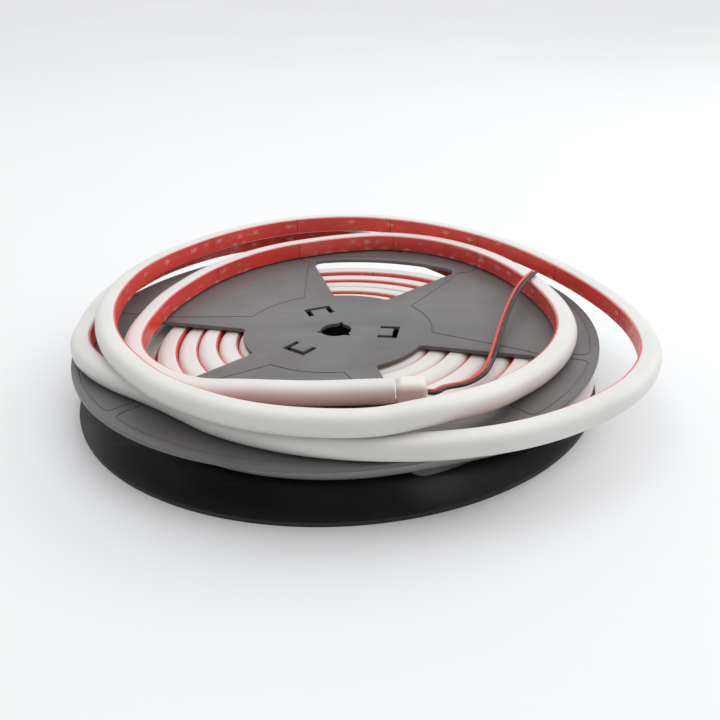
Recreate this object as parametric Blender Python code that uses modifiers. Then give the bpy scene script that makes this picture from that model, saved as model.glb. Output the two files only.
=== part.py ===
"""A plastic reel of white silicone neon flex, lying flat, with its loose end on top.

The reel is two slotted flanges on a barrel. The flex is D-shaped, with its flat back
towards the reel's axis and a red-lined mounting tape on that back. It is wound two
layers high. The last turns have come off: they climb over the rim, lie on the upper
flange in loose loops and end in a cap with a two-wire lead.

Units are metres, +Z is up, and the part stands on z = 0 with its box centred on the origin.
"""

from math import atan2, cos, pi, radians, sin

import bmesh
import bpy
from mathutils import Matrix, Vector

MM = 0.001
TOUCH = 0.0003          # gap kept between pieces that touch

# Reel
FLANGE_RADIUS = 125 * MM
FLANGE_THICKNESS = 2.0 * MM
FLANGE_GAP = 22 * MM    # clear height between the flanges
WINDOW_INNER = 45 * MM
WINDOW_OUTER = 102 * MM
WINDOW_CORNER = 6 * MM
WINDOW_SPREAD = radians(30)      # lean of a window's sides from its middle line
WINDOW_INNER_HALF = radians(19)  # half of a window's inner edge, seen from the axis
WINDOW_AZIMUTH = radians(71.5)
LATCH_AZIMUTH = radians(108)
LATCH_RADIUS = 26 * MM
LATCH_LENGTH = 17 * MM
LATCH_WIDTH = 11 * MM
LATCH_SLIT = 1.6 * MM
SPINDLE_RADIUS = 7.5 * MM
SPINDLE_KEY = 2.6 * MM           # how far a key notch reaches past the spindle hole
SPINDLE_KEY_HALF = radians(13)
FLANGE_STEPS = 120
BARREL_RADIUS = 38 * MM
BARREL_WALL = 2.2 * MM
BOSS_WALL = 2.5 * MM
WEB_THICKNESS = 2.0 * MM
BARREL_STEPS = 60

# Flex
FLEX_WIDTH = 9.5 * MM
FLEX_DEPTH = 8.9 * MM
TAPE_WIDTH = 8.2 * MM
TAPE_THICKNESS = 0.7 * MM
DOME_STEPS = 6
TURNS = 6
TURN_SLACK = 0.2 * MM
GROOVE_DEPTH = 3.6 * MM
SHOULDER_DROP = 1.7 * MM
CREST_SHARE = 0.52      # flat part of a turn's top, of its depth
SHOULDER_SHARE = 0.86
ROLL_STEPS = 54
SWEEP_STEP = 12 * MM

# End of the flex
CAP_LENGTH = 12.7 * MM
CAP_WIDTH = 11.4 * MM
CAP_DEPTH = 11.0 * MM
CAP_ROUNDING = 1.6 * MM
WIRE_RADIUS = 0.85 * MM
WIRE_STEP = 4.6 * MM

FLANGE_TOP = 2 * FLANGE_THICKNESS + FLANGE_GAP
TURN_PITCH = FLEX_DEPTH + TOUCH + TAPE_THICKNESS + TURN_SLACK
ROLL_INNER = BARREL_RADIUS + TOUCH
ROLL_OUTER = ROLL_INNER + TURNS * TURN_PITCH
ROLL_BOTTOM = FLANGE_THICKNESS + TOUCH
ROLL_TOP = FLANGE_THICKNESS + FLANGE_GAP - TOUCH
LAST_TURN = ROLL_OUTER - TURN_PITCH + TAPE_THICKNESS + FLEX_DEPTH / 2 + TURN_SLACK + 3 * TOUCH
LAST_TURN_HEIGHT = ROLL_BOTTOM + FLEX_WIDTH / 2 - FLANGE_TOP
RIM_CLEAR = FLANGE_RADIUS + FLEX_DEPTH / 2 + TAPE_THICKNESS + 2 * TOUCH
LYING = FLEX_WIDTH / 2 + TOUCH
STACKED = LYING + FLEX_WIDTH + TOUCH

# Route of the loose flex: azimuth in degrees, radius and height over the upper flange
# of the middle of its section, and its roll in degrees.
LOOSE_ROUTE = (
    (200, LAST_TURN, LAST_TURN_HEIGHT, 0),
    (235, LAST_TURN, LAST_TURN_HEIGHT, 0),
    (270, LAST_TURN, LAST_TURN_HEIGHT, 0),
    (295, 98 * MM, LAST_TURN_HEIGHT, 0),
    (318, 110 * MM, LAST_TURN_HEIGHT, 0),
    (341, 119 * MM, LAST_TURN_HEIGHT, 0),
    (365, 121 * MM, LAST_TURN_HEIGHT, 0),
    (388, 125.5 * MM, LAST_TURN_HEIGHT, 0),
    (406, RIM_CLEAR + 0.8 * MM, -17.5 * MM, 0),
    (420, 131.4 * MM, -9.5 * MM, 0),
    (429, 132.5 * MM, -4.5 * MM, 0),
    (438, 136 * MM, -0.5 * MM, 0),
    (446, 141.5 * MM, 1.8 * MM, 0),
    (456, 144 * MM, 2.1 * MM, 0),
    (468, 145.8 * MM, 2.4 * MM, -15),
    (478, 144.8 * MM, 2.8 * MM, -20),
    (488, 139.5 * MM, 3.8 * MM, -12),
    (498, 134.5 * MM, 4.6 * MM, -6),
    (508, 129.5 * MM, LYING, 0),
    (518, 126.3 * MM, LYING, 0),
    (528, 123.4 * MM, LYING, 0),
    (538, 121 * MM, LYING, 0),
    (546, 120.8 * MM, LYING, 0),
    (554, 118.8 * MM, LYING, 0),
    (562, 114.5 * MM, LYING, 0),
    (570, 109.8 * MM, LYING, 0),
    (578, 105.4 * MM, LYING, 0),
    (586, 103.5 * MM, LYING, 0),
    (594, 104.5 * MM, LYING, 0),
    (601, 107 * MM, LYING, 0),
    (613, 111.3 * MM, LYING, 0),
    (625, 116.3 * MM, LYING, 0),
    (637, 121.9 * MM, LYING, 0),
    (649, 128.9 * MM, LYING, 0),
    (661, 135.8 * MM, LYING, 0),
    (673, 141.7 * MM, LYING, 0),
    (685, 146.6 * MM, LYING, 0),
    (697, 147.5 * MM, LYING, 0),
    (709, 143.8 * MM, LYING, 0),
    (720, 138.8 * MM, 5.3 * MM, 0),
    (732, 133.5 * MM, 6.3 * MM, 0),
    (744, 130.5 * MM, 7.4 * MM, 0),
    (756, 130 * MM, 8.6 * MM, 0),
    (768, 130.5 * MM, 9.8 * MM, 0),
    (780, 132.5 * MM, 10.8 * MM, 0),
    (792, 135.2 * MM, 11.5 * MM, 0),
    (804, 137.3 * MM, 12 * MM, 0),
    (816, 136.6 * MM, 12.4 * MM, 0),
    (828, 133.3 * MM, 12.6 * MM, 0),
    (840, 127.5 * MM, 13 * MM, 0),
    (852, 121.8 * MM, 13.5 * MM, 0),
    (864, 117.6 * MM, 14.2 * MM, 0),
    (876, 114 * MM, STACKED, 0),
    (888, 111 * MM, STACKED, 0),
    (900, 109 * MM, STACKED, 0),
    (912, 107.5 * MM, STACKED, 0),
    (924, 107 * MM, STACKED, 0),
    (936, 107.5 * MM, STACKED, 0),
    (948, 109.7 * MM, STACKED, 0),
    (960, 112.3 * MM, STACKED, 0),
    (972, 115.5 * MM, STACKED, 0),
    (984, 118 * MM, STACKED, 0),
    (996, 120.2 * MM, STACKED, 0),
    (1005, 118.6 * MM, 14.8 * MM, 0),
    (1014, 115.2 * MM, 12.4 * MM, 0),
    (1023, 111.5 * MM, 9.2 * MM, 0),
    (1032, 108.4 * MM, 6.5 * MM, 0),
    (1041, 108 * MM, LYING, 0),
    (1050, 109.1 * MM, LYING, 0),
    (1059, 109.9 * MM, LYING, 0),
    (1068, 110.2 * MM, LYING, 0),
    (1080, 109.6 * MM, LYING, 0),
    (1090, 109.4 * MM, LYING, 0),
    (1100, 110.5 * MM, LYING, 0),
    (1110, 112.7 * MM, LYING, 0),
    (1120, 116 * MM, LYING, 0),
    (1130, 119.5 * MM, LYING, 0),
    (1140, 122.3 * MM, LYING, 0),
    (1149, 123.2 * MM, LYING, 0),
    (1157, 122.5 * MM, LYING, 0),
    (1166, 118.5 * MM, LYING, 0),
    (1177, 113.6 * MM, LYING, 0),
    (1184, 111.3 * MM, LYING, 0),
    (1195, 106.9 * MM, LYING, 0),
    (1204, 103 * MM, LYING, 0),
    (1216, 98.6 * MM, LYING, 0),
    (1229, 94.8 * MM, LYING, 0),
    (1249, 93 * MM, LYING, 0),
    (1261, 94.3 * MM, LYING, 0),
    (1273, 96.6 * MM, LYING, 0),
    (1285, 97 * MM, LYING, 0),
    (1297, 94.9 * MM, LYING, 0),
    (1304, 92.9 * MM, LYING, 0),
    (1311, 89.8 * MM, LYING, 0),
    (1320, 83 * MM, LYING, 0),
    (1330, 79 * MM, LYING, 0),
    (1340, 77.5 * MM, LYING, 0),
    (1350, 77.6 * MM, 5.3 * MM, 0),
    (1358, 79.2 * MM, 5.6 * MM, 0),
    (1366, 82.5 * MM, CAP_WIDTH / 2 + TOUCH, 0),
)

# Route of the lead: place of its middle, from the reel's axis and over the upper flange.
LEAD_ROUTE = (
    (44.4 * MM, -71.6 * MM, 3.2 * MM),
    (54.2 * MM, -65 * MM, 1.3 * MM),
    (62.3 * MM, -57.3 * MM, 1.3 * MM),
    (67.2 * MM, -47.6 * MM, 1.6 * MM),
    (71.3 * MM, -36.6 * MM, 2.6 * MM),
    (74.8 * MM, -26 * MM, 3.8 * MM),
    (78.6 * MM, -15.1 * MM, 5.2 * MM),
    (82.7 * MM, -4.4 * MM, 7 * MM),
    (87.4 * MM, 6.6 * MM, 8.8 * MM),
    (91.3 * MM, 14.6 * MM, 10.3 * MM),
    (95.5 * MM, 22.2 * MM, 11.3 * MM),
    (100.2 * MM, 30 * MM, 11.4 * MM),
    (105 * MM, 37.7 * MM, 11.3 * MM),
)


def clear_scene():
    """Remove every object that the file holds."""
    for item in list(bpy.data.objects):
        bpy.data.objects.remove(item, do_unlink=True)


def make_collection(name):
    """Return a new collection, linked to the scene."""
    collection = bpy.data.collections.new(name)
    bpy.context.scene.collection.children.link(collection)
    return collection


def make_material(name, colour, roughness, metallic=0.0):
    """Return a Principled BSDF material."""
    material = bpy.data.materials.new(name)
    material.use_nodes = True
    shader = material.node_tree.nodes["Principled BSDF"]
    shader.inputs["Base Color"].default_value = (*colour, 1.0)
    shader.inputs["Roughness"].default_value = roughness
    shader.inputs["Metallic"].default_value = metallic
    return material


def add_object(name, data, collection, material):
    """Link a new object that carries the material."""
    item = bpy.data.objects.new(name, data)
    collection.objects.link(item)
    data.materials.append(material)
    return item


def polar(radius, azimuth):
    """Return the plan position at a radius and an azimuth."""
    return Vector((radius * cos(azimuth), radius * sin(azimuth), 0.0))


def circle_outline(radius, steps):
    """Return the corners of a circle about the axis."""
    return [polar(radius, 2 * pi * i / steps) for i in range(steps)]


def round_corner(before, corner, after, radius, steps=5):
    """Return points of a fillet at a corner, an arc that is tangent to both sides."""
    side_in = (before - corner).normalized()
    side_out = (after - corner).normalized()
    half = side_in.angle(side_out) / 2
    middle = corner + (side_in + side_out).normalized() * (radius / sin(half))
    start = corner + side_in * (radius * cos(half) / sin(half)) - middle
    end = corner + side_out * (radius * cos(half) / sin(half)) - middle
    turn = start.angle(end)
    return [middle + (start * sin(turn * (1 - t)) + end * sin(turn * t)) / sin(turn)
            for t in (i / steps for i in range(steps + 1))]


def window_outline(azimuth):
    """Return a flange window: an arc near the barrel, two sides and an arc near the rim."""
    inner = polar(WINDOW_INNER, WINDOW_INNER_HALF)
    lean = Vector((cos(WINDOW_SPREAD), sin(WINDOW_SPREAD), 0.0))
    along = -inner.dot(lean) + (inner.dot(lean) ** 2 + WINDOW_OUTER ** 2 - WINDOW_INNER ** 2) ** 0.5
    outer = inner + lean * along
    outer_half = atan2(outer.y, outer.x)
    points = [polar(WINDOW_INNER, WINDOW_INNER_HALF * t) for t in (-0.75, -0.4, 0.0, 0.4, 0.75)]
    points += round_corner(points[-1], inner, outer, WINDOW_CORNER / 3, 3)
    rim = [polar(WINDOW_OUTER, outer_half * t) for t in (0.7, 0.45, 0.15, -0.15, -0.45, -0.7)]
    points += round_corner(inner, outer, rim[0], WINDOW_CORNER)
    points += rim
    mirrored = Vector((outer.x, -outer.y, 0.0))
    foot = Vector((inner.x, -inner.y, 0.0))
    points += round_corner(rim[-1], mirrored, foot, WINDOW_CORNER)
    points += round_corner(mirrored, foot, points[0], WINDOW_CORNER / 3, 3)
    turn = Matrix.Rotation(azimuth, 3, "Z")
    return [turn @ point for point in points]


def latch_outline(azimuth):
    """Return the U-shaped slit that frees a latch tongue, open towards the axis."""
    half_length = LATCH_LENGTH / 2
    half_width = LATCH_WIDTH / 2
    corners = (
        (-half_width, -half_length), (half_width, -half_length),
        (half_width, half_length), (-half_width, half_length),
        (-half_width, half_length - LATCH_SLIT), (half_width - LATCH_SLIT, half_length - LATCH_SLIT),
        (half_width - LATCH_SLIT, LATCH_SLIT - half_length), (-half_width, LATCH_SLIT - half_length),
    )
    turn = Matrix.Rotation(azimuth, 3, "Z")
    return [turn @ Vector((LATCH_RADIUS + x, y, 0.0)) for x, y in corners]


def spindle_outline():
    """Return the spindle hole with its three pointed key notches."""
    points = []
    for key in range(3):
        start = 2 * pi * key / 3 + WINDOW_AZIMUTH
        points.append(polar(SPINDLE_RADIUS + SPINDLE_KEY, start))
        first = start + SPINDLE_KEY_HALF
        sweep = 2 * pi / 3 - 2 * SPINDLE_KEY_HALF
        points += [polar(SPINDLE_RADIUS, first + sweep * i / 8) for i in range(9)]
    return points


def add_flange(name, collection, material, bottom):
    """Add a flat flange with its windows, latch slits and spindle hole."""
    curve = bpy.data.curves.new(name, "CURVE")
    curve.dimensions = "2D"
    curve.fill_mode = "BOTH"
    curve.extrude = FLANGE_THICKNESS / 2
    outlines = [circle_outline(FLANGE_RADIUS, FLANGE_STEPS), spindle_outline()]
    for third in range(3):
        turn = 2 * pi * third / 3
        outlines.append(window_outline(WINDOW_AZIMUTH + turn))
        outlines.append(latch_outline(LATCH_AZIMUTH + turn))
    for outline in outlines:
        spline = curve.splines.new("POLY")
        spline.points.add(len(outline) - 1)
        for point, place in zip(spline.points, outline):
            point.co = (*place, 1.0)
        spline.use_cyclic_u = True
    flange = add_object(name, curve, collection, material)
    flange.location.z = bottom + FLANGE_THICKNESS / 2
    return flange


def add_turned(name, profile, steps, collection, material):
    """Add a body turned about the reel's axis from a closed profile of (radius, height)."""
    mesh = bpy.data.meshes.new(name)
    corners = [(radius, 0.0, height) for radius, height in profile]
    edges = [(i, (i + 1) % len(corners)) for i in range(len(corners))]
    mesh.from_pydata(corners, edges, [])
    body = add_object(name, mesh, collection, material)
    screw = body.modifiers.new("turn", "SCREW")
    screw.steps = steps
    screw.render_steps = steps
    screw.use_merge_vertices = True
    screw.merge_threshold = 0.0001 * MM
    screw.use_smooth_shade = False
    return body


def barrel_profile():
    """Return the barrel's section: outer wall, web and the boss round the spindle."""
    bottom = FLANGE_THICKNESS + TOUCH
    top = FLANGE_THICKNESS + FLANGE_GAP - TOUCH
    middle = (bottom + top) / 2
    outside = BARREL_RADIUS
    wall = BARREL_RADIUS - BARREL_WALL
    bore = SPINDLE_RADIUS + SPINDLE_KEY + TOUCH
    boss = bore + BOSS_WALL
    return [
        (outside, top), (outside, bottom), (wall, bottom), (wall, middle - WEB_THICKNESS / 2),
        (boss, middle - WEB_THICKNESS / 2), (boss, bottom), (bore, bottom), (bore, top),
        (boss, top), (boss, middle + WEB_THICKNESS / 2), (wall, middle + WEB_THICKNESS / 2),
        (wall, top),
    ]


def layer_end(face, inward, turns):
    """Return one end of a layer of wound turns, from its inside out, at a face height."""
    points = []
    for turn in range(turns):
        start = ROLL_INNER + turn * TURN_PITCH
        points.append((start, face))
        points.append((start + TURN_PITCH * CREST_SHARE, face))
        points.append((start + TURN_PITCH * SHOULDER_SHARE, face + inward * SHOULDER_DROP))
        points.append((start + TURN_PITCH, face + inward * GROOVE_DEPTH))
    return points


def roll_profile():
    """Return the wound flex's section, two layers high, its lower layer one turn short."""
    between = ROLL_BOTTOM + FLEX_WIDTH + 2 * TOUCH
    overhang = [
        (ROLL_OUTER, between + SHOULDER_DROP),
        (ROLL_OUTER - TURN_PITCH * (1 - SHOULDER_SHARE), between),
        (ROLL_OUTER - TURN_PITCH, between),
    ]
    lower = layer_end(ROLL_BOTTOM, 1, TURNS - 1)
    return layer_end(ROLL_TOP, -1, TURNS) + overhang + list(reversed(lower))


def smooth_curve(points, steps=40):
    """Return many points of a smooth curve that passes through the given ones."""
    fine = []
    padded = [2 * points[0] - points[1], *points, 2 * points[-1] - points[-2]]
    for a, b, c, d in zip(padded, padded[1:], padded[2:], padded[3:]):
        for i in range(steps):
            t = i / steps
            fine.append(0.5 * (2 * b + (c - a) * t + (2 * a - 5 * b + 4 * c - d) * t * t
                               + (3 * b - a - 3 * c + d) * t ** 3))
    fine.append(points[-1])
    return fine


def even_steps(fine, spacing):
    """Return places along a fine polyline, about the spacing apart, both ends included."""
    lengths = [0.0]
    for start, end in zip(fine, fine[1:]):
        lengths.append(lengths[-1] + (end - start).to_3d().length)
    count = max(2, round(lengths[-1] / spacing))
    places = []
    index = 0
    for step in range(count + 1):
        target = lengths[-1] * step / count
        while index < len(lengths) - 2 and lengths[index + 1] < target:
            index += 1
        share = (target - lengths[index]) / (lengths[index + 1] - lengths[index])
        places.append(fine[index].lerp(fine[index + 1], min(1.0, share)))
    return places


def loose_route(spacing):
    """Return the loose flex's route as vectors of place and roll, evenly spaced."""
    fine = []
    for azimuth, radius, height, roll in smooth_curve([Vector(point) for point in LOOSE_ROUTE]):
        place = polar(radius, radians(azimuth))
        fine.append(Vector((place.x, place.y, FLANGE_TOP + height, radians(roll))))
    return even_steps(fine, spacing)


def flex_section():
    """Return the flex's D-shaped section: outwards first, then up, from the section's middle."""
    back = -FLEX_DEPTH / 2
    half = FLEX_WIDTH / 2
    centre = FLEX_DEPTH / 2 - half
    points = [(back, -half), (centre, -half)]
    points += [(centre + half * sin(pi * i / DOME_STEPS), -half * cos(pi * i / DOME_STEPS))
               for i in range(1, DOME_STEPS)]
    points += [(centre, half), (back, half)]
    return points


def tape_section():
    """Return the mounting tape's section, against the flex's flat back."""
    face = -FLEX_DEPTH / 2 - TOUCH
    half = TAPE_WIDTH / 2
    return [(face - TAPE_THICKNESS, -half), (face, -half), (face, half), (face - TAPE_THICKNESS, half)]


def section_axes(route):
    """Return the outward and upward directions of the section at each place of a route."""
    axes = []
    for i, place in enumerate(route):
        before = route[max(0, i - 1)].to_3d()
        after = route[min(len(route) - 1, i + 1)].to_3d()
        tangent = (after - before).normalized()
        outward = tangent.cross(Vector((0.0, 0.0, 1.0))).normalized()
        upward = outward.cross(tangent)
        turn = Matrix.Rotation(place.w, 3, tangent)
        axes.append((turn @ outward, turn @ upward))
    return axes


def add_sweep(name, route, section, collection, material):
    """Add a closed body that carries one section along the route, upright with its roll."""
    shape = bmesh.new()
    rings = []
    for place, (outward, upward) in zip(route, section_axes(route)):
        middle = place.to_3d()
        rings.append([shape.verts.new(middle + outward * x + upward * y) for x, y in section])
    count = len(section)
    for ring, following in zip(rings, rings[1:]):
        for i in range(count):
            j = (i + 1) % count
            corners = [ring[i], following[i], following[j], ring[j]]
            if section[i][1] > section[j][1]:
                corners = corners[1:] + corners[:1]
            shape.faces.new(corners)
    shape.faces.new(rings[0])
    shape.faces.new(list(reversed(rings[-1])))
    bmesh.ops.recalc_face_normals(shape, faces=shape.faces)
    mesh = bpy.data.meshes.new(name)
    shape.to_mesh(mesh)
    shape.free()
    return add_object(name, mesh, collection, material)


def add_end_cap(route, collection, material):
    """Add the rounded cap past the end of the flex, and return its outer end and direction."""
    end = route[-1].to_3d()
    heading = (end - route[-2].to_3d()).normalized()
    heading.z = 0.0
    heading.normalize()
    middle = end + heading * (CAP_LENGTH / 2 + 2 * TOUCH)
    bpy.ops.mesh.primitive_cube_add(size=1.0)
    cap = bpy.context.active_object
    cap.name = "end_cap"
    for owner in list(cap.users_collection):
        owner.objects.unlink(cap)
    collection.objects.link(cap)
    cap.data.materials.append(material)
    cap.data.transform(Matrix.Diagonal((CAP_LENGTH, CAP_DEPTH, CAP_WIDTH, 1.0)))
    cap.location = middle
    cap.rotation_euler.z = atan2(heading.y, heading.x)
    bevel = cap.modifiers.new("rounding", "BEVEL")
    bevel.width = CAP_ROUNDING
    bevel.segments = 3
    bevel.limit_method = "NONE"
    return middle + heading * (CAP_LENGTH / 2 + TOUCH), heading


def add_wire(name, route, collection, material):
    """Add a lead wire: a round tube along the route with filled ends."""
    curve = bpy.data.curves.new(name, "CURVE")
    curve.dimensions = "3D"
    curve.bevel_depth = WIRE_RADIUS
    curve.bevel_resolution = 2
    curve.use_fill_caps = True
    spline = curve.splines.new("POLY")
    spline.points.add(len(route) - 1)
    for point, place in zip(spline.points, route):
        point.co = (*place, 1.0)
    return add_object(name, curve, collection, material)


def add_lead(outlet, heading, collection, red, black):
    """Add the two wires of the lead, side by side from the cap's outlet."""
    side = Vector((-heading.y, heading.x, 0.0))
    middle = [outlet, outlet + heading * 3 * MM]
    middle += [Vector((x, y, FLANGE_TOP + z)) for x, y, z in LEAD_ROUTE]
    offset = WIRE_RADIUS + TOUCH / 2
    route = even_steps(smooth_curve(middle), WIRE_STEP)
    for name, material, sign in (("lead_wire_red", red, 1), ("lead_wire_black", black, -1)):
        places = []
        for i, place in enumerate(route):
            tangent = (route[min(i + 1, len(route) - 1)] - route[max(i - 1, 0)]).normalized()
            across = Vector((-tangent.y, tangent.x, 0.0)).normalized() if i else side
            places.append(place + across * sign * offset)
        add_wire(name, places, collection, material)


def centre_on_origin(collection):
    """Move every piece so that the part's box is centred over the origin."""
    bpy.context.view_layer.update()
    low = [float("inf")] * 2
    high = [float("-inf")] * 2
    for item in collection.objects:
        for corner in item.bound_box:
            place = item.matrix_world @ Vector(corner)
            for axis in range(2):
                low[axis] = min(low[axis], place[axis])
                high[axis] = max(high[axis], place[axis])
    for item in collection.objects:
        item.location.x -= (low[0] + high[0]) / 2
        item.location.y -= (low[1] + high[1]) / 2


def shade(collection):
    """Shade the round pieces smooth, with sharp edges where faces meet at an angle."""
    for item in collection.objects:
        if item.type == "MESH":
            item.data.shade_smooth()
            item.data.set_sharp_from_angle(angle=radians(35))


def main():
    """Build the reel, the wound flex, its loose turns and the lead."""
    clear_scene()
    collection = make_collection("led_neon_flex")
    grey = make_material("grey_plastic", (0.22, 0.21, 0.21), 0.45)
    dark = make_material("dark_plastic", (0.03, 0.03, 0.033), 0.45)
    white = make_material("white_silicone", (0.85, 0.84, 0.82), 0.5)
    red = make_material("red_liner", (0.6, 0.06, 0.04), 0.35)
    cream = make_material("clear_silicone", (0.8, 0.78, 0.7), 0.3)
    red_wire = make_material("red_wire", (0.65, 0.05, 0.04), 0.35)
    black_wire = make_material("black_wire", (0.02, 0.02, 0.02), 0.35)

    add_flange("bottom_flange", collection, dark, 0.0)
    add_flange("top_flange", collection, grey, FLANGE_TOP - FLANGE_THICKNESS)
    add_turned("barrel", barrel_profile(), BARREL_STEPS, collection, dark)
    add_turned("neon_flex_roll", roll_profile(), ROLL_STEPS, collection, white)
    route = loose_route(SWEEP_STEP)
    add_sweep("neon_flex_loose_turns", route, flex_section(), collection, white)
    add_sweep("mounting_tape", route, tape_section(), collection, red)
    outlet, heading = add_end_cap(route, collection, cream)
    add_lead(outlet, heading, collection, red_wire, black_wire)
    shade(collection)
    centre_on_origin(collection)


main()
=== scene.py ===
"""The looks of a plastic reel of white neon flex, with its loose end looped on top.

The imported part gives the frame. Each sub-assembly below is a class that builds finer meshes
in the same places and dresses them. Lengths are metres and +Z is up. The reel's own data are
written from its axis and from the top of its upper flange, as the part's source writes them.
"""

import logging
from dataclasses import dataclass, field
from enum import Enum
from math import atan2, cos, hypot, pi, radians, sin, sqrt

import bmesh
import bpy
from mathutils import Matrix, Vector


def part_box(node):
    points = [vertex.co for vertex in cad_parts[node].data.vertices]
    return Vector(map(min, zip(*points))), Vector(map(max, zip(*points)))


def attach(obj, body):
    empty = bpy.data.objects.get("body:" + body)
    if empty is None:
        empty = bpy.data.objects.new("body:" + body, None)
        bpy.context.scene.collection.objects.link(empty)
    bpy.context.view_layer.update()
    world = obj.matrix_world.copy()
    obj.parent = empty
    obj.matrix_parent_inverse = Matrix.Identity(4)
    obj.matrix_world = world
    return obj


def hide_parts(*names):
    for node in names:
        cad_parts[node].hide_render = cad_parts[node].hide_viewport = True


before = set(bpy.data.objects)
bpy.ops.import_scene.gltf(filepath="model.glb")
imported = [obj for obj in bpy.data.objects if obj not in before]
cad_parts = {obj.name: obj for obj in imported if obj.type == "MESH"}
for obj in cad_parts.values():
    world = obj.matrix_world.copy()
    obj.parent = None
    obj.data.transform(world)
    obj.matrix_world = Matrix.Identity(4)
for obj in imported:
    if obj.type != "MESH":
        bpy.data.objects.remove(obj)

LOG = logging.getLogger("reel")
MM = 0.001
BODY = "root"
MERGE = 0.002 * MM
FLANGE_SHARP = 35.0
FLEX_SHARP = 40.0
CAP_SHARP = 50.0

Piece = bpy.types.Object
Socket = bpy.types.NodeSocket
Colour = tuple[float, float, float]


class Slot(Enum):
    """Material slots that the record names."""

    GREY_PLASTIC = "grey_plastic"
    DARK_PLASTIC = "dark_plastic"
    WHITE_SILICONE = "white_silicone"
    RED_LINER = "red_liner"
    CLEAR_SILICONE = "clear_silicone"
    RED_INSULATION = "red_insulation"
    BLACK_INSULATION = "black_insulation"


class Light(Enum):
    """Jobs of the studio's lights."""

    OVERHEAD = "overhead"
    KEY = "key"


@dataclass(frozen=True)
class Site:
    """The reel's place in the frame: its axis and the top of its upper flange.

    Attributes:
        x: the axis in X.
        y: the axis in Y.
        top: height of the upper flange's upper face.
    """

    x: float
    y: float
    top: float

    @classmethod
    def measured(cls) -> "Site":
        """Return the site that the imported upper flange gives."""
        low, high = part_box("top_flange")
        return cls((low[0] + high[0]) / 2, (low[1] + high[1]) / 2, high[2])

    def at(self, x: float, y: float, height: float) -> Vector:
        """Return a point that is given from the axis and the upper face."""
        return Vector((self.x + x, self.y + y, self.top + height))

    def polar(self, radius: float, azimuth: float, height: float) -> Vector:
        """Return the point at a radius, an azimuth in degrees and a height."""
        angle = radians(azimuth)
        return self.at(radius * cos(angle), radius * sin(angle), height)


# Curves

def smooth_curve(points: list[Vector], steps: int = 40) -> list[Vector]:
    """Return many points of a smooth curve through the given ones.

    Args:
        points: the places that the curve passes.
        steps: points made between two of them.

    Returns:
        The curve's points, the given ones among them.
    """
    fine = []
    padded = [2 * points[0] - points[1], *points, 2 * points[-1] - points[-2]]
    for a, b, c, d in zip(padded, padded[1:], padded[2:], padded[3:]):
        for i in range(steps):
            t = i / steps
            fine.append(0.5 * (2 * b + (c - a) * t + (2 * a - 5 * b + 4 * c - d) * t * t
                               + (3 * b - a - 3 * c + d) * t ** 3))
    fine.append(points[-1])
    return fine


def even_steps(fine: list[Vector], spacing: float) -> list[Vector]:
    """Return places along a fine polyline at an even spacing.

    Args:
        fine: a dense polyline, whose first three numbers are its place.
        spacing: the distance wanted between two places.

    Returns:
        The places, both ends included.
    """
    lengths = [0.0]
    for start, end in zip(fine, fine[1:]):
        lengths.append(lengths[-1] + (end - start).to_3d().length)
    count = max(2, round(lengths[-1] / spacing))
    places = []
    index = 0
    for step in range(count + 1):
        target = lengths[-1] * step / count
        while index < len(lengths) - 2 and lengths[index + 1] < target:
            index += 1
        share = (target - lengths[index]) / (lengths[index + 1] - lengths[index])
        places.append(fine[index].lerp(fine[index + 1], min(1.0, share)))
    return places


def ease(share: float) -> float:
    """Return a smooth step from 0 to 1 over a share that is held in that range."""
    held = min(1.0, max(0.0, share))
    return held * held * (3 - 2 * held)


# Mesh helpers

def deselect() -> None:
    """Leave nothing selected."""
    bpy.ops.object.select_all(action="DESELECT")


def take(piece: Piece) -> None:
    """Make a piece the only selected and the active one."""
    deselect()
    piece.select_set(True)
    bpy.context.view_layer.objects.active = piece


def settle(piece: Piece) -> None:
    """Put a piece's place, turn and scale into its mesh."""
    take(piece)
    bpy.ops.object.transform_apply(location=True, rotation=True, scale=True)


def link(name: str, data: bpy.types.ID) -> Piece:
    """Return a new object of the scene that shows the data."""
    piece = bpy.data.objects.new(name, data)
    bpy.context.scene.collection.objects.link(piece)
    return piece


def to_mesh(piece: Piece) -> None:
    """Turn a curve into a mesh and merge its doubled points."""
    take(piece)
    bpy.ops.object.convert(target="MESH")
    bpy.ops.object.mode_set(mode="EDIT")
    bpy.ops.mesh.select_all(action="SELECT")
    bpy.ops.mesh.remove_doubles(threshold=MERGE)
    bpy.ops.mesh.normals_make_consistent(inside=False)
    bpy.ops.object.mode_set(mode="OBJECT")


def finish_smooth(piece: Piece, angle: float) -> None:
    """Shade a piece smooth where its faces meet at less than an angle in degrees."""
    take(piece)
    bpy.ops.object.shade_smooth_by_angle(angle=radians(angle))


def combine(piece: Piece, tool: Piece, operation: str) -> None:
    """Join or cut a piece with a tool mesh, and remove the tool.

    Args:
        piece: the mesh that stays.
        tool: the mesh that joins it or cuts it.
        operation: UNION or DIFFERENCE.
    """
    modifier = piece.modifiers.new(tool.name, "BOOLEAN")
    modifier.operation = operation
    modifier.solver = "EXACT"
    modifier.object = tool
    take(piece)
    bpy.ops.object.modifier_apply(modifier=modifier.name)
    bpy.data.objects.remove(tool, do_unlink=True)


def add_line(curve: bpy.types.Curve, points: list[Vector], closed: bool) -> None:
    """Add a line of straight runs through the points to a curve."""
    spline = curve.splines.new("POLY")
    spline.points.add(len(points) - 1)
    for knot, place in zip(spline.points, points):
        knot.co = (*place, 1.0)
    spline.use_cyclic_u = closed


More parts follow.
